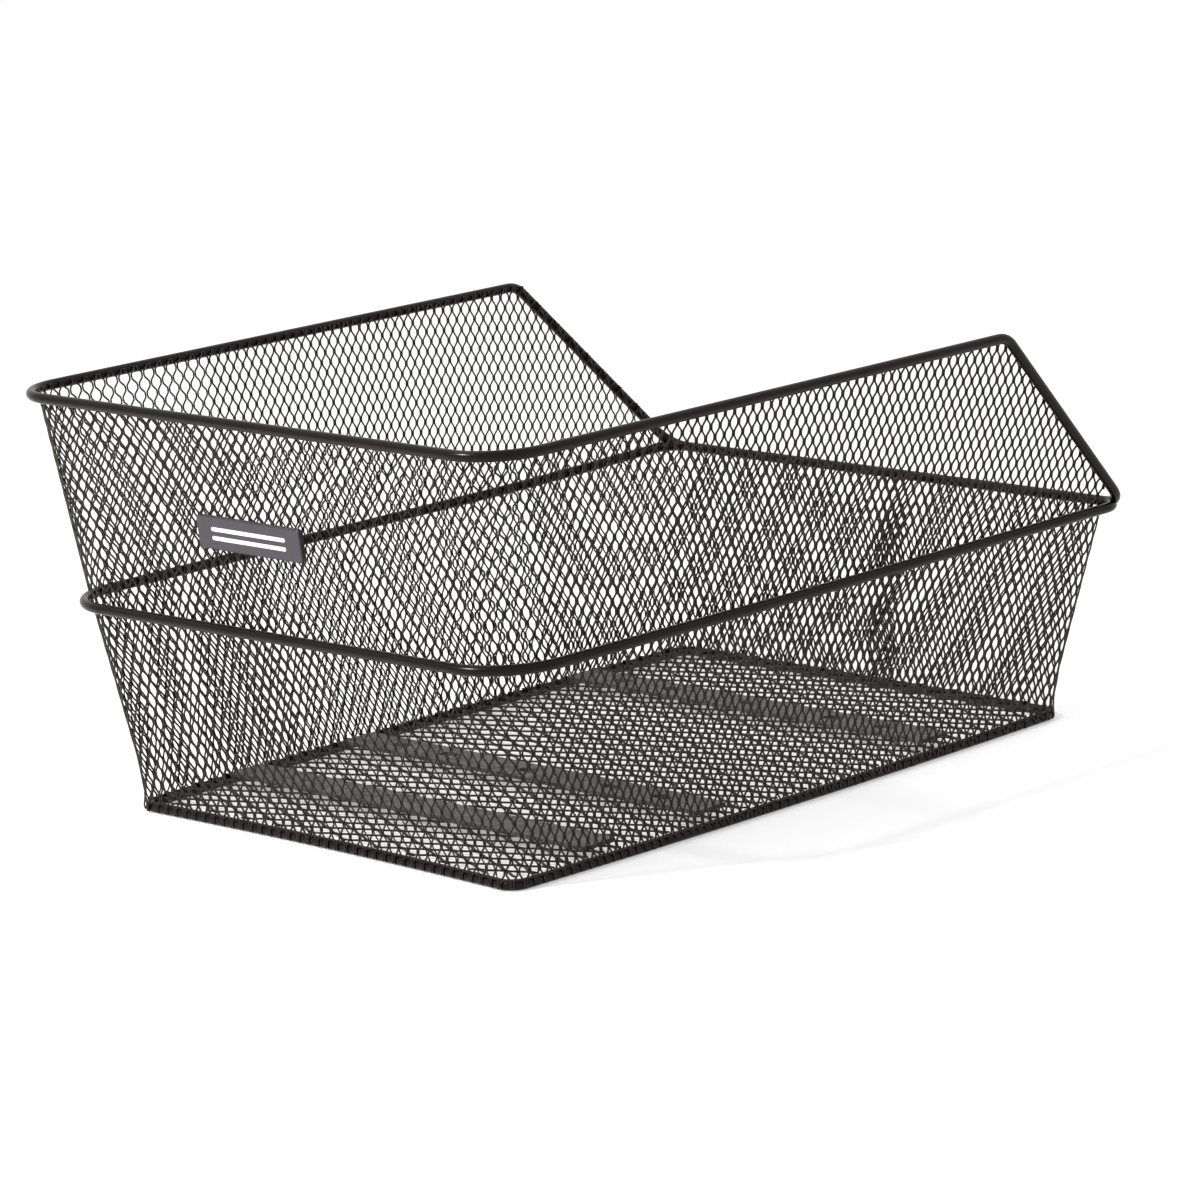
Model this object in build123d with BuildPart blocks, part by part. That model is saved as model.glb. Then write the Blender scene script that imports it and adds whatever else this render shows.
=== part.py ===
from build123d import *
import os

os.makedirs("parts", exist_ok=True)

# Wire basket for a bicycle rear carrier, millimetres, +Z up.
# Origin: centre of the outer size, on the surface the floor wire rests on.
# +X points to the cut-down end, -X to the full-height end.

# ---------------------------------------------------------------- driving dimensions
wire_d = 5.0            # all frame wires
wire_r = wire_d / 2
length = 427.0          # over the rim wire
rim_half_y = 164.5      # wire centrelines
mid_half_y = 153.0
floor_half_y = 126.0
rim_z = 202.0
mid_z = 105.0
floor_z = wire_r

end_x = (length - wire_d) / 2       # centreline of the rim at both ends
slope_x = 118.0                     # where the rim starts to drop towards the low end
mid_x0 = -202.0                     # high-end side of the middle wire
mid_cut_x = 204.9                   # where its two ends are cut off
floor_x0 = -180.5
floor_x1 = 187.2

rim_bend = 27.0         # plan radius of the rim at the high end
slope_bend = 13.0       # bend at the top of each slope
low_bend = 13.0         # compound bend into the low end
mid_bend = 33.0
floor_bend = 8.0
floor_bow = 3.5         # outward bow of the long sides of the floor wire
floor_dent = 3.0        # inward bow of its side at the high end
mid_bow = 1.5           # outward bow of the long sides of the middle wire
mid_sag = 2.7           # its left side sits lower, up to sag_x
sag_x = 110.0
mesh_bow = 0.3          # the sheet is pulled straighter than the middle wire

mesh_t = 1.0            # thickness over the flattened strands
lap = wire_r + mesh_t / 2 + 0.05    # wire centreline to mesh mid surface
mesh_foot_z = 5.3       # side mesh stands on top of the floor wire
mesh_head_z = 203.4     # side mesh is lapped up the inside of the rim wire

strap_w = 20.0
strap_t = 2.0
strap_half_y = 120.5
slot_y = (-89.0, -55.0, 0.0, 55.0, 89.0)
slot_l = 11.5
slot_w = 6.2
floor_mesh_z = wire_d + 0.05
strap_z = floor_mesh_z + mesh_t + 0.05

badge_l = 70.0
badge_h = 15.4
badge_t = 2.5
badge_y = 5.0
badge_z = 149.4
backing_l = 62.0
backing_h = 12.0
backing_t = 1.0
rivet_pitch = 52.0
rivet_r = 1.5


# ---------------------------------------------------------------- shared outlines
def plan_outline(x0, x1, half_y, bow, dent, r0, r1, z, grow=0.0):
    """Rounded rectangle at height z; long sides bow out, the -X side dents in; grow offsets it."""
    xa, xb, yh = x0 - grow, x1 + grow, half_y + grow
    xm = (xa + xb) / 2
    with BuildSketch(Plane.XY.offset(z)) as outline:
        with BuildLine():
            ThreePointArc((xa, yh), (xa + dent, 0), (xa, -yh))
            ThreePointArc((xa, -yh), (xm, -yh - bow), (xb, -yh))
            Line((xb, -yh), (xb, yh))
            ThreePointArc((xb, yh), (xm, yh + bow), (xa, yh))
        make_face()
        fillet(outline.vertices().sort_by(Axis.X)[:2], r0 + grow)
        fillet(outline.vertices().sort_by(Axis.X)[-2:], r1 + grow)
    return outline.sketch


def mesh_outline(level, grow):
    """Outline of the mesh mid surface at its foot, at the middle wire and at its head."""
    if level == "foot":
        return plan_outline(floor_x0, floor_x1, floor_half_y + 0.3, floor_bow, floor_dent,
                            floor_bend, floor_bend, mesh_foot_z, grow)
    if level == "middle":
        return plan_outline(mid_x0 + lap, end_x - lap, mid_half_y - lap, mesh_bow, 0.05,
                            mid_bend - lap, low_bend, mid_z, grow)
    return plan_outline(-end_x + lap, end_x + 20, rim_half_y - lap, 0.05, 0.05,
                        rim_bend - lap, low_bend, mesh_head_z, grow)


def mesh_band(low, high, mid_surface=0.0, thickness=mesh_t):
    """Closed sloping wall between two outlines, offset from the mesh mid surface."""
    outer = mid_surface + thickness / 2
    inner = mid_surface - thickness / 2
    with BuildPart() as band:
        loft(sections=[mesh_outline(low, outer), mesh_outline(high, outer)], ruled=True)
        loft(sections=[mesh_outline(low, inner), mesh_outline(high, inner)], ruled=True,
             mode=Mode.SUBTRACT)
    return band.part


# ---------------------------------------------------------------- frame wires
# Rim: half of the loop is bent, then mirrored across the length of the basket.
with BuildPart() as rim_wire:
    with BuildLine() as rim_path:
        FilletPolyline(
            (-end_x, 0, rim_z),
            (-end_x, rim_half_y, rim_z),
            (slope_x, rim_half_y, rim_z),
            (end_x, mid_half_y, mid_z),
            (end_x, 0, mid_z),
            radius=(rim_bend, slope_bend, low_bend),
        )
    with BuildSketch(Plane(origin=(-end_x, 0, rim_z), z_dir=(0, 1, 0))):
        Circle(wire_r)
    sweep()
    mirror(about=Plane.XZ)
rim_wire.part.label = "rim_wire"
export_step(rim_wire.part, "parts/rim_wire.step")

# Middle wire: three sides; both ends turn in and butt against the bends of the rim.
with BuildPart() as middle_wire:
    with BuildLine():
        FilletPolyline(
            (end_x, -1, mid_z),
            (end_x, -mid_half_y, mid_z),
            (0, -mid_half_y - mid_bow, mid_z),
            (mid_x0, -mid_half_y, mid_z),
            (mid_x0, mid_half_y - 0.5, mid_z - mid_sag),
            (sag_x, mid_half_y + 0.5, mid_z - mid_sag),
            (end_x, mid_half_y, mid_z),
            (end_x, 1, mid_z),
            radius=(low_bend, 3000, mid_bend, mid_bend, 3000, low_bend),
        )
    with BuildSketch(Plane(origin=(end_x, -1, mid_z), z_dir=(0, -1, 0))):
        Circle(wire_r)
    sweep()
    with Locations((mid_cut_x, 0, mid_z)):
        Box(40, 400, 40, align=(Align.MIN, Align.CENTER, Align.CENTER), mode=Mode.SUBTRACT)
middle_wire.part.label = "middle_wire"
export_step(middle_wire.part, "parts/middle_wire.step")

with BuildPart() as floor_wire:
    with BuildLine():
        add(plan_outline(floor_x0, floor_x1, floor_half_y, floor_bow, floor_dent, floor_bend,
                         floor_bend, floor_z).face().outer_wire())
    with BuildSketch(Plane(origin=(floor_x0 + floor_dent, 0, floor_z), z_dir=(0, 1, 0))):
        Circle(wire_r)
    sweep()
floor_wire.part.label = "floor_wire"
export_step(floor_wire.part, "parts/floor_wire.step")

# ---------------------------------------------------------------- floor mesh and straps
straps = {
    "rear_strap": (-120.5, False),
    "middle_strap": (-48.5, True),
    "front_strap": (104.5, True),
}
slot_spots = [(x, y) for x, slotted in straps.values() if slotted for y in slot_y]

# The bolts pass through the diamonds of the mesh, so the sheet is open under each slot.
with BuildPart() as floor_mesh:
    add(plan_outline(floor_x0, floor_x1, floor_half_y, floor_bow, floor_dent, floor_bend,
                     floor_bend, floor_mesh_z, -0.9))
    extrude(amount=mesh_t)
    with BuildSketch(Plane.XY.offset(floor_mesh_z)):
        with Locations(*slot_spots):
            SlotOverall(slot_l + 3, slot_w + 3, rotation=90)
    extrude(amount=mesh_t, mode=Mode.SUBTRACT)
floor_mesh.part.label = "floor_mesh"
export_step(floor_mesh.part, "parts/floor_mesh.step")

for name, (x, slotted) in straps.items():
    with BuildPart() as strap:
        with BuildSketch(Plane(origin=(x, 0, strap_z))):
            Rectangle(strap_w, 2 * strap_half_y)
            if slotted:
                with Locations(*[(0, y) for y in slot_y]):
                    SlotOverall(slot_l, slot_w, rotation=90, mode=Mode.SUBTRACT)
        extrude(amount=strap_t)
        fillet(strap.edges().filter_by(Axis.Z).group_by(Axis.Y)[0], 1.5)
        fillet(strap.edges().filter_by(Axis.Z).group_by(Axis.Y)[-1], 1.5)
    strap.part.label = name
    export_step(strap.part, f"parts/{name}.step")

# ---------------------------------------------------------------- side mesh
# One wrapped sheet; each wall and corner is its own thin panel so the inside stays open.
lower_band = mesh_band("foot", "middle")
upper_band = mesh_band("middle", "head")

# Plan limits of the panels at the foot, the middle wire and the head: the bends start there.
foot_high = (floor_x0 + floor_bend, floor_half_y + 0.3 - floor_bend)
foot_low = (floor_x1 - floor_bend, floor_half_y + 0.3 - floor_bend)
middle_high = (mid_x0 + mid_bend, mid_half_y - mid_bend)
middle_low = (end_x - lap - low_bend, mid_half_y - lap - low_bend)
head_high = (-end_x + rim_bend, rim_half_y - rim_bend)
tip_x = 199.0           # upper side panels stop short of the compound bend
out = 260.0

slope_run = end_x - slope_x
slope_drop = rim_z - mid_z
slope_len = (slope_run ** 2 + slope_drop ** 2) ** 0.5
slope_normal = (slope_drop / slope_len, 0, slope_run / slope_len)
slope_plane = Plane(
    origin=(slope_x + 1.4 * slope_normal[0], 0, rim_z + 1.4 * slope_normal[2]),
    z_dir=slope_normal,
)

badge_lean = (mid_x0 + end_x) / (mesh_head_z - mid_z)
wall_x = mid_x0 + lap - badge_lean * (badge_z - mid_z)
badge_plane = Plane(
    origin=(wall_x, badge_y, badge_z), x_dir=(0, -1, 0), z_dir=(-1, 0, -badge_lean)
)
rivet_spots = [(-rivet_pitch / 2, 0), (rivet_pitch / 2, 0)]


def plan_window(xa, xb, ya, yb, z):
    """Rectangle at height z that bounds a panel."""
    with BuildSketch(Plane.XY.offset(z)) as window:
        with Locations(((xa + xb) / 2, (ya + yb) / 2)):
            Rectangle(xb - xa, yb - ya)
    return window.sketch


lower = (lower_band, mesh_foot_z, mid_z)
upper = (upper_band, mid_z, mesh_head_z)
(fx, fy), (gx, gy) = foot_high, foot_low
(mx, my), (nx, ny) = middle_high, middle_low
hx, hy = head_high

# name: band, window at its lower edge, window at its upper edge
panels = {
    "mesh_high_end_lower": (lower, (-out, fx, -fy, fy), (-out, mx, -my, my)),
    "mesh_low_end_lower": (lower, (gx, out, -gy, gy), (nx, out, -ny, ny)),
    "mesh_left_lower": (lower, (fx, gx, 0, out), (mx, nx, 0, out)),
    "mesh_high_left_corner_lower": (lower, (-out, fx, fy, out), (-out, mx, my, out)),
    "mesh_low_left_corner": (lower, (gx, out, gy, out), (nx, out, ny, out)),
    "mesh_high_end_upper": (upper, (-out, mx, -my, my), (-out, hx, -hy, hy)),
    "mesh_left_upper": (upper, (mx, tip_x, 0, out), (hx, tip_x, 0, out)),
    "mesh_high_left_corner_upper": (upper, (-out, mx, my, out), (-out, hx, hy, out)),
}
for name, ((band, z0, z1), low_window, high_window) in panels.items():
    with BuildPart() as panel:
        add(band)
        loft(sections=[plan_window(*low_window, z0), plan_window(*high_window, z1)],
             ruled=True, mode=Mode.INTERSECT)
        if name == "mesh_left_upper":
            split(bisect_by=slope_plane, keep=Keep.BOTTOM)
        if name == "mesh_high_end_upper":
            with BuildSketch(badge_plane.offset(-5)):
                with Locations(*rivet_spots):
                    Circle(rivet_r + 0.1)
            extrude(amount=10, mode=Mode.SUBTRACT)
    panel.part.label = name
    export_step(panel.part, f"parts/{name}.step")
    if "left" in name:
        with BuildPart() as right_panel:
            add(panel.part.mirror(Plane.XZ))
        right_name = name.replace("left", "right")
        right_panel.part.label = right_name
        export_step(right_panel.part, f"parts/{right_name}.step")

# Second layer where the sheet overlaps itself on the inside of the low end.
lap_band = mesh_band("foot", "middle", mid_surface=-1.1)
with BuildPart() as mesh_lap:
    add(lap_band)
    with BuildSketch(Plane.XY.offset(floor_mesh_z + mesh_t + 0.2)):
        with Locations((200, -9.5)):
            Rectangle(60, 17)
    extrude(amount=mid_z - floor_mesh_z - mesh_t - 1.2, mode=Mode.INTERSECT)
mesh_lap.part.label = "mesh_lap"
export_step(mesh_lap.part, "parts/mesh_lap.step")

# ---------------------------------------------------------------- badge on the high end
with BuildPart() as badge_plate:
    with BuildSketch(badge_plane.offset(mesh_t / 2 + 0.05)):
        RectangleRounded(badge_l, badge_h, 2)
    extrude(amount=badge_t)
    outer_face = badge_plate.faces().sort_by(Axis.X)[0]
    chamfer(outer_face.edges(), 0.3)
badge_plate.part.label = "badge_plate"
export_step(badge_plate.part, "parts/badge_plate.step")

with BuildPart() as badge_backing:
    with BuildSketch(badge_plane.offset(-mesh_t / 2 - 0.05)):
        RectangleRounded(backing_l, backing_h, 2)
        with Locations(*rivet_spots):
            Circle(rivet_r + 0.1, mode=Mode.SUBTRACT)
    extrude(amount=-backing_t)
badge_backing.part.label = "badge_backing"
export_step(badge_backing.part, "parts/badge_backing.step")

# Two rivets: pin through mesh and backing, domed head inside the basket.
with BuildPart() as badge_rivets:
    with BuildSketch(badge_plane.offset(mesh_t / 2 + 0.05)):
        with Locations(*rivet_spots):
            Circle(rivet_r)
    extrude(amount=-(mesh_t + backing_t + 0.3))
    with BuildSketch(badge_plane.offset(-mesh_t / 2 - backing_t - 0.1)):
        with Locations(*rivet_spots):
            Circle(2 * rivet_r)
    extrude(amount=-1.2)
    heads = badge_rivets.faces().sort_by(Axis.X)[-2:]
    fillet(heads.edges(), 0.8)
badge_rivets.part.label = "badge_rivets"
export_step(badge_rivets.part, "parts/badge_rivets.step")
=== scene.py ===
import math

import bpy
import numpy as np
from mathutils import Matrix, Vector


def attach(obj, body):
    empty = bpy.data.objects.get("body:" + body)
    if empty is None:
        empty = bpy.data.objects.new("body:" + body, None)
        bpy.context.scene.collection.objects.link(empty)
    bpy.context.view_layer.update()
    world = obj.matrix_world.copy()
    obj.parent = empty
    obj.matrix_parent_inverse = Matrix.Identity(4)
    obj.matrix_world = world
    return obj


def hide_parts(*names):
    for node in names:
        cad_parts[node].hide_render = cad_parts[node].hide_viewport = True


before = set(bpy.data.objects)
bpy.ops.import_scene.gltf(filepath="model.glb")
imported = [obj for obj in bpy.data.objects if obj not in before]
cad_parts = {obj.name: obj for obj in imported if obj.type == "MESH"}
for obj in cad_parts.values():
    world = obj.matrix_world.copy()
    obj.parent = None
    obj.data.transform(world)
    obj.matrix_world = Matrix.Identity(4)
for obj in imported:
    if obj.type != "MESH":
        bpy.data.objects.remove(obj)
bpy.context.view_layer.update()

# ------------------------------------------------------------------ the walls, in millimetres
FOOT_Z, MID_Z, HEAD_Z = 5.3, 105.0, 203.4
LAP = 3.05                      # wire centreline to the middle of the mesh
COLS_HIGH = 55                  # diamonds from the middle of the high end to UPRIGHT_X
COLS_LOW = 56                   # diamonds from UPRIGHT_X to the middle of the low end
UPRIGHT_X = 5.0                 # the columns of the long sides stand upright here
STRAND_W, STRAND_T = 0.82, 0.52
BOND, BOND_STEP = 0.25, 0.075   # half length of a bond in half rows, half its width in columns
TWIST = math.radians(24)

# Outlines of the mesh: x at both ends, half width, bow of the long side, dent of the high end,
# radii of the high and the low corners.
FOOT = (-180.5, 187.2, 126.3, 3.5, 3.0, 8.0, 8.0)
MIDDLE = (-202 + LAP, 211 - LAP, 153 - LAP, 1.2, 0.0, 33 - LAP, 13.0)
HEAD = (-211 + LAP, 231.0, 164.5 - LAP, 0.0, 0.0, 27 - LAP, 13.0)


def blended(a, b, t):
    return tuple(p + (q - p) * t for p, q in zip(a, b))


def wall_outline(z):
    if z < MID_Z:
        return blended(FOOT, MIDDLE, (z - FOOT_Z) / (MID_Z - FOOT_Z))
    return blended(MIDDLE, HEAD, (z - MID_Z) / (HEAD_Z - MID_Z))


def grown(o, g):
    return (o[0] - g, o[1] + g, o[2] + g, o[3], o[4], o[5] + g, o[6] + g)


END_POINTS, ARC_POINTS, SIDE_POINTS = 30, 25, 90


def half_loop(x0, x1, half_y, bow, dent, r0, r1):
    """Half a rounded rectangle, y >= 0, from the middle of the high end to the middle of the low end."""
    xm, half = (x0 + x1) / 2, (x1 - x0) / 2
    a = np.linspace(0, math.pi / 2, ARC_POINTS)
    y = np.linspace(0, half_y - r0, END_POINTS)
    high = np.stack([x0 + dent * (1 - (y / half_y) ** 2), y], 1)
    arc0 = np.stack([x0 + r0 - r0 * np.cos(a), half_y - r0 + r0 * np.sin(a)], 1)
    xs = np.linspace(x0 + r0, x1 - r1, SIDE_POINTS)
    side = np.stack([xs, half_y + bow * (1 - ((xs - xm) / half) ** 2)], 1)
    side[:, 1] -= side[0, 1] - half_y
    arc1 = np.stack([x1 - r1 + r1 * np.sin(a), half_y - r1 + r1 * np.cos(a)], 1)
    low = np.stack([np.full(END_POINTS, x1), np.linspace(half_y - r1, 0, END_POINTS)], 1)
    return np.concatenate([high, arc0[1:], side[1:], arc1[1:], low[1:]])


def arclength(p):
    return np.concatenate([[0], np.cumsum(np.linalg.norm(np.diff(p, axis=0), axis=1))])


# The foot of the mesh is lapped over the outside of the floor wire.
LEVEL_Z = np.array([0.9, 2.5, 5.5, 10.0, 26.0, 50.0, 80.0, MID_Z, 125.0, 150.0, 175.0, HEAD_Z])
MID_LEVEL = 7
LOOPS = [half_loop(*o) for o in (
    grown(FOOT, 2.45), grown(FOOT, 2.95), grown(wall_outline(5.5), 2.4), grown(wall_outline(10.0), 1.3),
    *(wall_outline(z) for z in LEVEL_Z[4:]))]
LOOP_M = [arclength(p) for p in LOOPS]


def smooth(x, a, b):
    t = np.clip((x - a) / (b - a), 0, 1)
    return t * t * (3 - 2 * t)


# Lean of the columns on a long side, in mm along +X per mm of height: a row for each level and a
# number for each station along the side. Below the middle wire the columns fan out, above it they
# are sheared towards the low end.
STATION_X = np.array([-169, -150, -130, -100, -40, 20, 80, 140, 165])
LEAN = np.array([
    [-0.16, -0.15, -0.11, -0.09, -0.02, -0.03, 0.05, 0.17, 0.20],
    [-0.16, -0.15, -0.11, -0.09, -0.02, -0.03, 0.05, 0.17, 0.20],
    [-0.16, -0.15, -0.11, -0.09, -0.02, -0.03, 0.05, 0.17, 0.20],
    [-0.16, -0.15, -0.11, -0.09, -0.02, -0.03, 0.05, 0.17, 0.20],
    [-0.16, -0.15, -0.11, -0.09, -0.02, -0.03, 0.05, 0.15, 0.19],
    [-0.15, -0.15, -0.13, -0.11, -0.01, -0.03, 0.06, 0.12, 0.15],
    [-0.14, -0.13, -0.10, -0.05, 0.04, 0.10, 0.12, 0.13, 0.13],
    [-0.12, -0.08, -0.03, 0.06, 0.13, 0.17, 0.19, 0.18, 0.16],
    [-0.12, -0.03, 0.05, 0.13, 0.19, 0.21, 0.24, 0.24, 0.22],
    [-0.11, -0.04, 0.04, 0.11, 0.13, 0.16, 0.18, 0.19, 0.19],
    [-0.11, -0.08, -0.01, 0.05, 0.08, 0.12, 0.15, 0.17, 0.17],
    [-0.12, -0.10, -0.04, 0.01, 0.03, 0.09, 0.14, 0.15, 0.15],
])
steps = (LEAN[1:] + LEAN[:-1]) / 2 * np.diff(LEVEL_Z)[:, None]
DRIFT = np.concatenate([np.zeros((1, len(STATION_X))), np.cumsum(steps, 0)])
DRIFT -= DRIFT[MID_LEVEL]

CORNER_FIRST = END_POINTS - 1
SIDE_FIRST = CORNER_FIRST + ARC_POINTS - 1
SIDE_LAST = SIDE_FIRST + SIDE_POINTS - 1
LOW_FIRST = SIDE_LAST + ARC_POINTS - 1
CORNER_SPARE = 8.0 / 100        # the high corner's columns spread this much per mm from the middle wire


def loop_knots(k):
    """Distances along loop k: high end, its corner, the stations, the low corner, the low end."""
    loop, m = LOOPS[k], LOOP_M[k]
    spare = CORNER_SPARE * abs(LEVEL_Z[k] - MID_Z)
    side_m, side_x = m[SIDE_FIRST:SIDE_LAST + 1], loop[SIDE_FIRST:SIDE_LAST + 1, 0]
    stations = np.interp(STATION_X + DRIFT[k], side_x, side_m)
    return np.array([0, m[CORNER_FIRST] - spare, *stations, m[SIDE_LAST], m[LOW_FIRST], m[-1]])


KNOTS = [loop_knots(k) for k in range(len(LEVEL_Z))]
MID_TOTAL = LOOP_M[MID_LEVEL][-1]


def mid_station(x):
    """Distance along the middle wire of a point on the long side."""
    side = slice(SIDE_FIRST, SIDE_LAST + 1)
    return float(np.interp(x, LOOPS[MID_LEVEL][side, 0], LOOP_M[MID_LEVEL][side]))


UPRIGHT_M = mid_station(UPRIGHT_X)
SHORTEST = 0.06                 # a trimmed strand shorter than this part of its length is dropped


def spread(m0, m1, cols, pitches):
    """Column number at each distance m along the middle wire, from diamond widths at a few stations."""
    m = np.linspace(m0, m1, 400)
    density = 1 / np.interp(m, *zip(*pitches))
    c = np.concatenate([[0], np.cumsum((density[1:] + density[:-1]) / 2 * np.diff(m))])
    return c / c[-1] * cols, m


# Widths of the diamonds: they are narrow on most of a long side and widen towards its low end.
HIGH_END_PITCH, LOW_END_PITCH = 6.9, 6.0
PITCHES = [(0, HIGH_END_PITCH), (115, HIGH_END_PITCH), (mid_station(-160), 5.6), (mid_station(-100), 5.45),
           (mid_station(0), 5.45), (mid_station(50), 5.6), (mid_station(80), 5.8), (mid_station(140), 6.1),
           (mid_station(170), 6.4), (MID_TOTAL - 120, 6.2), (MID_TOTAL, LOW_END_PITCH)]
COL_HIGH, COL_HIGH_M = spread(0, UPRIGHT_M, COLS_HIGH, PITCHES)
COL_LOW, COL_LOW_M = spread(UPRIGHT_M, MID_TOTAL, COLS_LOW, PITCHES)
ALL_COLS = np.concatenate([COL_HIGH - COLS_HIGH, COL_LOW[1:]])
ALL_M = np.concatenate([COL_HIGH_M, COL_LOW_M[1:]])


def mid_distance(c):
    """Distance along the middle wire from the middle of the high end."""
    past = np.maximum(c - COLS_LOW, 0) * LOW_END_PITCH
    return np.interp(c, ALL_COLS, ALL_M) + past


def level_points(c, k):
    """Plan position of column c on level k."""
    m = mid_distance(c)
    mk = np.interp(m, KNOTS[MID_LEVEL], KNOTS[k])
    x = np.interp(mk, LOOP_M[k], LOOPS[k][:, 0])
    y = np.interp(mk, LOOP_M[k], LOOPS[k][:, 1]) - np.maximum(m - MID_TOTAL, 0)
    return np.stack([x, y], -1)


def wall(c, z, side):
    """Point of the mesh mid surface at column c and height z; side +1 left, -1 right."""
    c, z = np.broadcast_arrays(np.asarray(c, float), np.asarray(z, float))
    plans = np.stack([level_points(c, k) for k in range(len(LEVEL_Z))])
    k = np.clip(np.searchsorted(LEVEL_Z, z) - 1, 0, len(LEVEL_Z) - 2)
    t = (z - LEVEL_Z[k]) / (LEVEL_Z[k + 1] - LEVEL_Z[k])
    idx = np.indices(c.shape)
    a = plans[(k, *idx)]
    b = plans[(k + 1, *idx)]
    p = a + (b - a) * t[..., None]
    return np.stack([p[..., 0], side * p[..., 1], z], -1)


def row_table(pairs):
    """Rows counted from the middle wire at each height, from diamond heights at a few levels."""
    z = np.linspace(-15, 225, 481)
    rows = np.concatenate([[0], np.cumsum(0.5 / np.interp(z[1:] - 0.25, *zip(*pairs)))])
    return rows - np.interp(MID_Z, z, rows), z


ROWS_SIDE = row_table([(0, 11.3), (35, 11.1), (50, 10.9), (65, 10.6), (80, 10.3), (105, 10.0), (125, 9.8),
                       (220, 9.9)])
ROWS_HIGH = row_table([(0, 11.4), (60, 10.8), (105, 9.8), (125, 9.4), (170, 8.6), (220, 8.4)])

ROW_CURVE = 0.00033             # rows of a long side sink by this times the distance squared
ROW_MEAN = 10.3


def row_height(c, r):
    """Height of row r at column c: rows sink towards the low end, high end diamonds are shorter."""
    m = mid_distance(c)
    sink_from = mid_station(-130)
    low = mid_station(195)
    run = np.clip(m - sink_from, 0, low - sink_from)
    rest = np.clip(m - low, 0, MID_TOTAL - low)
    steep = 2 * ROW_CURVE * (low - sink_from)
    drop = ROW_CURVE * run ** 2 + steep * (rest - rest ** 2 / (2 * (MID_TOTAL - low)))
    d = r - drop / ROW_MEAN
    side = smooth(m, 90, 190)
    return side * np.interp(d, *ROWS_SIDE) + (1 - side) * np.interp(d, *ROWS_HIGH)


def add_object(name, mesh, material):
    mesh.materials.append(material)
    obj = bpy.data.objects.new(name, mesh)
    bpy.context.scene.collection.objects.link(obj)
    return obj


def build(name, verts, quads, material):
    mesh = bpy.data.meshes.new(name)
    mesh.vertices.add(len(verts))
    mesh.vertices.foreach_set("co", (verts / 1000).astype(np.float32).ravel())
    mesh.loops.add(quads.size)
    mesh.loops.foreach_set("vertex_index", quads.astype(np.int32).ravel())
    mesh.polygons.add(len(quads))
    mesh.polygons.foreach_set("loop_start", np.arange(0, quads.size, 4, dtype=np.int32))
    mesh.polygons.foreach_set("loop_total", np.full(len(quads), 4, dtype=np.int32))
    mesh.update(calc_edges=True)
    mesh.validate()
    mesh.polygons.foreach_set("use_smooth", np.full(len(mesh.polygons), True))
    return add_object(name, mesh, material)


def strands(surface, c0, r0, c1, r1, keep0, keep1, bond, side_step,
            width=STRAND_W, thick=STRAND_T, flip=1):
    """Ribbons between bonds; keep0 and keep1 are distances of the strand ends inside the trimmed edge."""
    dead = (keep0 <= 0) & (keep1 <= 0)
    c0, r0, c1, r1, keep0, keep1 = (a[~dead] for a in (c0, r0, c1, r1, keep0, keep1))
    start = np.where(keep0 < 0, -keep0 / (keep1 - keep0 + 1e-9), 0)
    stop = np.where(keep1 < 0, keep0 / (keep0 - keep1 + 1e-9), 1)
    live = stop - start > SHORTEST
    c0, r0, c1, r1, start, stop = (a[live] for a in (c0, r0, c1, r1, start, stop))
    knots = np.array([0, 0.22, 0.5, 0.78, 1.0])
    tau = start[:, None] + (stop - start)[:, None] * knots[None, :]
    sc, sr = np.sign(c1 - c0), np.sign(r1 - r0)
    path_t = np.array([0, 0.2, 0.8, 1])
    step_c = np.array([0.0, 1.0, -1.0, 0.0])
    at = np.array([0, bond, 1 - bond, 1])
    across = np.interp(tau, path_t, np.array([0, 0.06, 0.94, 1]))
    along = np.interp(tau, path_t, at)
    lean = np.interp(tau, [0, 0.12, 0.88, 1], [side_step, side_step, -side_step, -side_step])
    c = c0[:, None] + (c1 - c0)[:, None] * across + sc[:, None] * lean
    r = r0[:, None] + (r1 - r0)[:, None] * along
    p = surface(c, r)
    e = 0.02
    dc = surface(c + e, r) - surface(c - e, r)
    dr = surface(c, r + e) - surface(c, r - e)
    n = np.cross(dc, dr)
    n /= np.linalg.norm(n, axis=-1, keepdims=True) + 1e-12
    d = np.gradient(p, axis=1)
    d /= np.linalg.norm(d, axis=-1, keepdims=True) + 1e-12
    q = np.cross(n, d)
    q /= np.linalg.norm(q, axis=-1, keepdims=True) + 1e-12
    turn = TWIST * flip * sr[:, None, None]
    w = (np.cos(turn) * q + np.sin(turn) * n) * width / 2
    h = (-np.sin(turn) * q + np.cos(turn) * n) * thick / 2
    rings = np.stack([p + w + h, p - w + h, p - w - h, p + w - h], 2)
    count, k = rings.shape[0], rings.shape[1]
    base = np.arange(count)[:, None, None] * (k * 4)
    ring = np.arange(k - 1)[None, :, None] * 4
    corner = np.arange(4)[None, None, :]
    nxt = (corner + 1) % 4
    a = base + ring + corner
    b = base + ring + nxt
    quads = np.stack([a, b, b + 4, a + 4], -1).reshape(-1, 4)
    first = (np.arange(count) * k * 4)[:, None] + np.array([3, 2, 1, 0])
    last = (np.arange(count) * k * 4 + (k - 1) * 4)[:, None] + np.array([0, 1, 2, 3])
    return rings.reshape(-1, 3), np.concatenate([quads, first, last])


def lattice(i0, i1, j0, j1):
    """Strand ends in half columns and half rows: bonds sit where i + j is even."""
    i, j = np.meshgrid(np.arange(i0, i1), np.arange(j0, j1), indexing="ij")
    up = (i + j) % 2 == 0
    i, j = i.ravel(), j.ravel()
    up = up.ravel()
    # rising strand from (i, j) or falling strand from (i, j + 1)
    a_c, a_r = i, np.where(up, j, j + 1)
    b_c, b_r = i + 1, np.where(up, j + 1, j)
    return a_c / 2, a_r / 2, b_c / 2, b_r / 2


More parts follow.
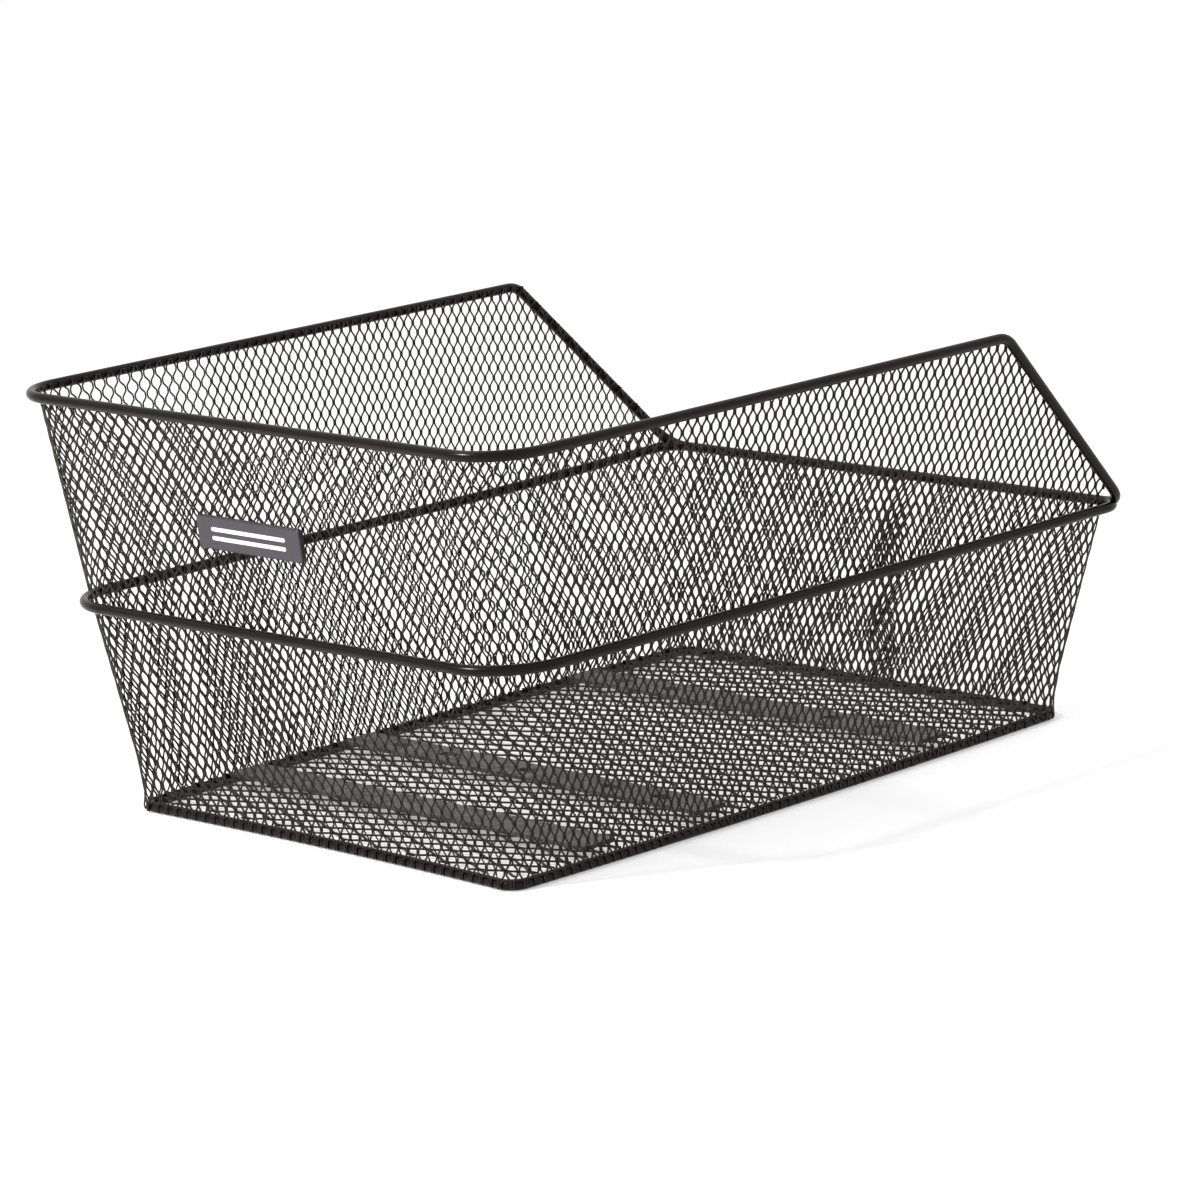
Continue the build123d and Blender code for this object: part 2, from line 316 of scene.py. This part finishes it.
# ------------------------------------------------------------------ materials
def nodes_of(mat):
    mat.use_nodes = True
    tree = mat.node_tree
    return tree, tree.nodes, tree.links, tree.nodes["Principled BSDF"]


def powder(name, low, high, rough, bump, scale, spec=0.5, tint=(1, 1, 1, 1)):
    """Powder coat: mottling of colour and gloss, slight unless low and high lie far apart, fine orange peel;
    the straps' strong mottle is partly painted shade and sheen.
    """
    mat = bpy.data.materials.new(name)
    tree, nodes, links, bsdf = nodes_of(mat)
    coords = nodes.new("ShaderNodeTexCoord")
    mottle = nodes.new("ShaderNodeTexNoise")
    mottle.inputs["Scale"].default_value = scale
    mottle.inputs["Detail"].default_value = 5
    ramp = nodes.new("ShaderNodeValToRGB")
    ramp.color_ramp.elements[0].position = 0.32
    ramp.color_ramp.elements[1].position = 0.72
    ramp.color_ramp.elements[0].color = (*low, 1)
    ramp.color_ramp.elements[1].color = (*high, 1)
    gloss = nodes.new("ShaderNodeMapRange")
    gloss.inputs["To Min"].default_value = rough[0]
    gloss.inputs["To Max"].default_value = rough[1]
    peel = nodes.new("ShaderNodeTexNoise")
    peel.inputs["Scale"].default_value = 1800
    peel.inputs["Detail"].default_value = 3
    bumps = nodes.new("ShaderNodeBump")
    bumps.inputs["Strength"].default_value = bump
    bumps.inputs["Distance"].default_value = 0.0001
    links.new(coords.outputs["Object"], mottle.inputs["Vector"])
    links.new(coords.outputs["Object"], peel.inputs["Vector"])
    links.new(mottle.outputs["Fac"], ramp.inputs["Fac"])
    links.new(mottle.outputs["Fac"], gloss.inputs["Value"])
    links.new(ramp.outputs["Color"], bsdf.inputs["Base Color"])
    links.new(gloss.outputs["Result"], bsdf.inputs["Roughness"])
    links.new(peel.outputs["Fac"], bumps.inputs["Height"])
    links.new(bumps.outputs["Normal"], bsdf.inputs["Normal"])
    bsdf.inputs["Specular IOR Level"].default_value = spec
    bsdf.inputs["Specular Tint"].default_value = tint
    return mat


wire_mat = powder("wire_powder_coat", (0.0014, 0.0012, 0.0009), (0.0040, 0.0036, 0.0027), (0.20, 0.28),
                  0.15, 60, spec=0.17, tint=(1.0, 0.95, 0.86, 1))
mesh_mat = powder("mesh_powder_coat", (0.0075, 0.0068, 0.0052), (0.021, 0.019, 0.015), (0.30, 0.42),
                  0.3, 140, spec=0.22, tint=(1.0, 0.93, 0.80, 1))
# Straps: the strong dark-to-light mottle is partly the coat's own mottling and partly painted flecks of
# shade and sheen from the mesh.
strap_mottle_and_shade_mat = powder("strap_coat_and_painted_shade", (0.008, 0.008, 0.007), (0.110, 0.110, 0.100), (0.50, 0.70), 0.5, 300)
badge_mat = powder("badge_plate_paint", (0.026, 0.023, 0.031), (0.034, 0.031, 0.040), (0.42, 0.52),
                   0.1, 90)
edge_mat = powder("badge_edge_paint", (0.012, 0.012, 0.012), (0.022, 0.022, 0.022), (0.40, 0.50), 0.1, 90)
mark_mat = powder("badge_mark_paint", (0.74, 0.74, 0.75), (0.84, 0.84, 0.85), (0.40, 0.50), 0.1, 90)
rivet_mat = powder("rivet_metal", (0.42, 0.42, 0.43), (0.55, 0.55, 0.56), (0.28, 0.40), 0.1, 300)
rivet_mat.node_tree.nodes["Principled BSDF"].inputs["Metallic"].default_value = 1.0


def paint(name, mat):
    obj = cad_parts[name]
    obj.data.materials.clear()
    obj.data.materials.append(mat)
    for poly in obj.data.polygons:
        poly.material_index = 0


for name in ("rim_wire", "middle_wire", "floor_wire"):
    paint(name, wire_mat)
for name in ("rear_strap", "middle_strap", "front_strap"):
    paint(name, strap_mottle_and_shade_mat)
paint("badge_plate", edge_mat)
paint("badge_backing", mesh_mat)
paint("badge_rivets", rivet_mat)

# ------------------------------------------------------------------ side mesh
# The rim slopes down from here; the second value is the direction out of the slope, both in x and z.
SLOPE_P = np.array([118.0, 202.0])
SLOPE_N = np.array([97.0, 93.0]) / math.hypot(97, 93)
SLOPE_ROOM = 1.2
LOW_END_X, LOW_END_TOP = 200, 105.6
SHEET_FOOT = 1.1


def room_above(p):
    """How far a point is below the trimmed upper edge."""
    slope = SLOPE_ROOM - ((p[..., 0] - SLOPE_P[0]) * SLOPE_N[0] + (p[..., 2] - SLOPE_P[1]) * SLOPE_N[1])
    top = np.minimum(HEAD_Z - 0.2 - p[..., 2], slope)
    # the low end stops at the rim wire
    return np.where(p[..., 0] > LOW_END_X, np.minimum(top, LOW_END_TOP - p[..., 2]), top)


def side_panel(name, side, c_low, c_high, z_low, z_high, nodes, offset=0.0, seam=None):
    def surface(c, r):
        p = wall(c, np.clip(row_height(c, r), LEVEL_Z[0], HEAD_Z + 6), side)
        if offset:
            p[..., 0] -= offset
        return p

    i0, i1 = int(round(2 * c_low)), int(round(2 * c_high))
    c0, r0, c1, r1 = lattice(i0, i1, -34, 40)
    p0, p1 = surface(c0, r0), surface(c1, r1)
    z0, z1 = row_height(c0, r0), row_height(c1, r1)
    inside = ((z0 + z1) / 2 >= z_low) & ((z0 + z1) / 2 < z_high)
    c0, r0, c1, r1, p0, p1, z0, z1 = (a[inside] for a in (c0, r0, c1, r1, p0, p1, z0, z1))
    keep0 = np.minimum(room_above(p0), z0 - SHEET_FOOT)
    keep1 = np.minimum(room_above(p1), z1 - SHEET_FOOT)
    if seam is not None:
        keep0 = np.minimum(keep0, side * p0[:, 1] - seam)
        keep1 = np.minimum(keep1, side * p1[:, 1] - seam)
    verts, quads = strands(surface, c0, r0, c1, r1, keep0, keep1, BOND, BOND_STEP, flip=side)
    obj = build(name, verts, quads, mesh_mat)
    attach(obj, "root")
    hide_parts(*nodes)


# Columns where one piece of the side mesh ends and the next begins.
HIGH_CORNER, LOW_CORNER, RIM_END = -34.0, 31.0, 38
TOP = 220
SEAM_LAP, SEAM_SHIFT = 18.0, 0.9
for side, hand in ((1, "left"), (-1, "right")):
    side_panel(f"{hand}_lower_strands", side, HIGH_CORNER, LOW_CORNER, 0, MID_Z, [f"mesh_{hand}_lower"])
    side_panel(f"{hand}_upper_strands", side, HIGH_CORNER, RIM_END, MID_Z, TOP, [f"mesh_{hand}_upper"])
    side_panel(f"high_{hand}_lower_strands", side, -COLS_HIGH, HIGH_CORNER, 0, MID_Z,
               [f"mesh_high_{hand}_corner_lower", "mesh_high_end_lower"])
    side_panel(f"high_{hand}_upper_strands", side, -COLS_HIGH, HIGH_CORNER, MID_Z, TOP,
               [f"mesh_high_{hand}_corner_upper", "mesh_high_end_upper"])
    # the two ends of the sheet overlap on the low end: the right one lies inside the left one
    side_panel(f"low_{hand}_strands", side, LOW_CORNER, COLS_LOW + 4, 0, MID_Z + 6,
               [f"mesh_low_{hand}_corner", "mesh_low_end_lower", "mesh_lap"],
               offset=0.0 if side > 0 else SEAM_SHIFT, seam=-SEAM_LAP if side > 0 else 1.0)

# ------------------------------------------------------------------ floor mesh
FLOOR_S, FLOOR_L = 10.0, 22.5
FLOOR_Z = 5.55
FLOOR_SHIFT = -1.5
FLOOR_X, FLOOR_HALF_X, FLOOR_HALF_Y, FLOOR_CORNER = 3.35, 183.2, 125.6, 10
FLOOR_BOW, FLOOR_DENT = 3.5, 3.0
FLOOR_WIDTH, FLOOR_THICK, FLOOR_BOND, FLOOR_STEP = 1.25, 0.85, 0.22, 0.055


def floor_surface(c, r):
    return np.stack([c * FLOOR_S + FLOOR_SHIFT, r * FLOOR_L, np.full(np.shape(c), FLOOR_Z)], -1)


def floor_room(p):
    x, y = p[..., 0] - FLOOR_X, np.abs(p[..., 1])
    bow = FLOOR_BOW * (1 - (x / 184) ** 2)
    dent = FLOOR_DENT * (1 - (y / 126) ** 2)
    qx = np.maximum(x, dent - x) - (FLOOR_HALF_X - FLOOR_CORNER)
    qy = y - (FLOOR_HALF_Y + bow - FLOOR_CORNER)
    return FLOOR_CORNER - np.hypot(np.maximum(qx, 0), np.maximum(qy, 0)) - np.minimum(np.maximum(qx, qy), 0)


fc0, fr0, fc1, fr1 = lattice(-42, 42, -14, 14)
room0, room1 = floor_room(floor_surface(fc0, fr0)), floor_room(floor_surface(fc1, fr1))
verts, quads = strands(floor_surface, fc0, fr0, fc1, fr1, room0, room1, FLOOR_BOND, FLOOR_STEP,
                       width=FLOOR_WIDTH, thick=FLOOR_THICK)
floor_strands = build("floor_strands", verts, quads, mesh_mat)
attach(floor_strands, "root")
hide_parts("floor_mesh")

# ------------------------------------------------------------------ badge face and plain stripes
BADGE_Y, BADGE_Z = 5.0, 149.4
WALL_LEAN = 9.0 / 98.4          # the high end leans out this much per mm of height
BADGE_AT = np.array([-202 + LAP - (BADGE_Z - MID_Z) * WALL_LEAN, BADGE_Y, BADGE_Z])
BADGE_OUT = np.array([-1.0, 0.0, -WALL_LEAN])
BADGE_OUT /= np.linalg.norm(BADGE_OUT)
BADGE_UP = np.array([-BADGE_OUT[2], 0.0, BADGE_OUT[0]])
BADGE_UP *= np.sign(BADGE_UP[2])


def badge_slab(name, across, up, length, height, radius, base, thick, material):
    """Thin rounded slab lying on the badge: across and up give its centre, base its depth from the mesh."""
    a = np.linspace(0, math.pi / 2, 7)
    ring = []
    for quarter, (sx, sy) in enumerate(((1, 1), (-1, 1), (-1, -1), (1, -1))):
        turn = a + quarter * math.pi / 2
        middle_x, middle_y = sx * (length / 2 - radius), sy * (height / 2 - radius)
        ring += [(middle_x + radius * math.cos(t), middle_y + radius * math.sin(t)) for t in turn]
    ring = np.array(ring) + (across, up)
    rows = []
    for inset, depth in ((0, base), (0, base + thick * 0.7), (thick * 0.3, base + thick)):
        c = ring.mean(0)
        size = np.array([length, height]) / 2
        q = c + (ring - c) * (1 - inset / size)
        rows.append(BADGE_AT + q[:, :1] * np.array([0, -1.0, 0]) + q[:, 1:] * BADGE_UP + depth * BADGE_OUT)
    n = len(ring)
    verts = [tuple(v / 1000) for row in rows for v in row]
    faces = [tuple(range(n - 1, -1, -1)), tuple(range(2 * n, 3 * n))]
    for level in range(2):
        for k in range(n):
            k1 = (k + 1) % n
            faces.append((level * n + k, level * n + k1, (level + 1) * n + k1, (level + 1) * n + k))
    mesh = bpy.data.meshes.new(name)
    mesh.from_pydata(verts, [], faces)
    obj = add_object(name, mesh, material)
    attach(obj, "root")


BADGE_FACE = 0.55 + 2.5         # half the mesh and the plate
badge_slab("badge_face", 0, 0, 69.2, 14.5, 1.6, BADGE_FACE - 0.05, 0.15, badge_mat)
for level, up in (("upper", 2.1), ("lower", -2.1)):
    badge_slab(f"badge_stripe_{level}", 0, up, 50.0, 1.9, 0.9, BADGE_FACE + 0.08, 0.14, mark_mat)


# ------------------------------------------------------------------ welds
def tube(name, points, radii, material, sides=20):
    """Round bar through points; the ends are closed."""
    p = np.asarray(points, float)
    d = np.gradient(p, axis=0)
    d /= np.linalg.norm(d, axis=1, keepdims=True)
    ref = np.array([0, 0, 1.0]) if abs(d[0, 2]) < 0.8 else np.array([1.0, 0, 0])
    u = np.cross(d, ref)
    u /= np.linalg.norm(u, axis=1, keepdims=True)
    v = np.cross(d, u)
    a = np.linspace(0, 2 * math.pi, sides, endpoint=False)
    r = np.asarray(radii, float)[:, None, None]
    around = np.cos(a)[None, :, None] * u[:, None] + np.sin(a)[None, :, None] * v[:, None]
    rings = p[:, None] + r * around
    n = len(p)
    faces = [tuple(range(sides)), tuple(range(n * sides - 1, (n - 1) * sides - 1, -1))]
    for k in range(n - 1):
        for q in range(sides):
            q1 = (q + 1) % sides
            faces.append((k * sides + q, (k + 1) * sides + q, (k + 1) * sides + q1, k * sides + q1))
    mesh = bpy.data.meshes.new(name)
    mesh.from_pydata([tuple(w) for w in rings.reshape(-1, 3) / 1000], [], faces)
    for poly in mesh.polygons:
        poly.use_smooth = len(poly.vertices) == 4
    obj = add_object(name, mesh, material)
    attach(obj, "root")


# The ends of the middle wire run into the bends of the rim.
JOIN_X, JOIN_Y, JOIN_BEND, JOIN_POINTS = 198, 140, 13, 14
swing = np.radians(np.linspace(8, 86, JOIN_POINTS))
swell = np.interp(np.linspace(0, 1, JOIN_POINTS), [0, 0.2, 0.5, 1], [2.44, 2.56, 2.62, 2.40])
for side, hand in ((1, "left"), (-1, "right")):
    bend_x, bend_y = JOIN_X + JOIN_BEND * np.sin(swing), JOIN_Y + JOIN_BEND * np.cos(swing)
    bend = np.stack([bend_x, side * bend_y, np.full(JOIN_POINTS, MID_Z)], 1)
    tube(f"low_{hand}_join_weld", bend, swell, wire_mat)

# ------------------------------------------------------------------ stage, lights, camera
stage = bpy.data.meshes.new("studio_floor")
stage.from_pydata([(-6, -6, 0), (6, -6, 0), (6, 6, 0), (-6, 6, 0)], [], [(0, 1, 2, 3)])
floor = bpy.data.objects.new("studio_floor", stage)
bpy.context.scene.collection.objects.link(floor)
floor_mat = bpy.data.materials.new("studio_white")
tree, nodes, links, bsdf = nodes_of(floor_mat)
bsdf.inputs["Base Color"].default_value = (0.63, 0.63, 0.63, 1)
bsdf.inputs["Emission Color"].default_value = (1, 1, 1, 1)
bsdf.inputs["Emission Strength"].default_value = 0.37
bsdf.inputs["Roughness"].default_value = 0.9
bsdf.inputs["Specular IOR Level"].default_value = 0.1
stage.materials.append(floor_mat)

world = bpy.data.worlds.new("studio")
bpy.context.scene.world = world
world.use_nodes = True
world.node_tree.nodes["Background"].inputs["Color"].default_value = (1, 1, 1, 1)
world.node_tree.nodes["Background"].inputs["Strength"].default_value = 0.95


def area(name, place, target, size, power):
    light = bpy.data.lights.new(name, "AREA")
    light.shape = "RECTANGLE"
    light.size, light.size_y = size
    light.energy = power
    obj = bpy.data.objects.new(name, light)
    bpy.context.scene.collection.objects.link(obj)
    obj.location = place
    obj.rotation_euler = (Vector(target) - Vector(place)).to_track_quat("-Z", "Y").to_euler()


area("overhead", (-0.3, 0.7, 1.8), (0, 0, 0.1), (1.4, 0.7), 5)
area("streak", (-1.48, 0.42, 1.25), (-0.15, -0.1, 0.15), (0.12, 0.12), 34)

CAMERA_AT = Vector((-1.65062, -1.70818, 0.60908))
YAW, PITCH, ROLL = 0.8010182, 0.2188528, -0.0589656
heading = Vector((math.cos(YAW), math.sin(YAW), 0))
forward = heading * math.cos(PITCH) - Vector((0, 0, math.sin(PITCH)))
right = Vector((math.sin(YAW), -math.cos(YAW), 0))
up = right.cross(forward)
right_rolled = right * math.cos(ROLL) + up * math.sin(ROLL)
up_rolled = up * math.cos(ROLL) - right * math.sin(ROLL)
cam_data = bpy.data.cameras.new("camera")
cam_data.sensor_width = 36
cam_data.lens = 153.319
cam_data.clip_end = 50
camera = bpy.data.objects.new("camera", cam_data)
bpy.context.scene.collection.objects.link(camera)
turn = Matrix((right_rolled, up_rolled, -forward)).transposed().to_4x4()
camera.matrix_world = Matrix.Translation(CAMERA_AT) @ turn
bpy.context.scene.camera = camera
bpy.context.scene.view_settings.view_transform = "Standard"
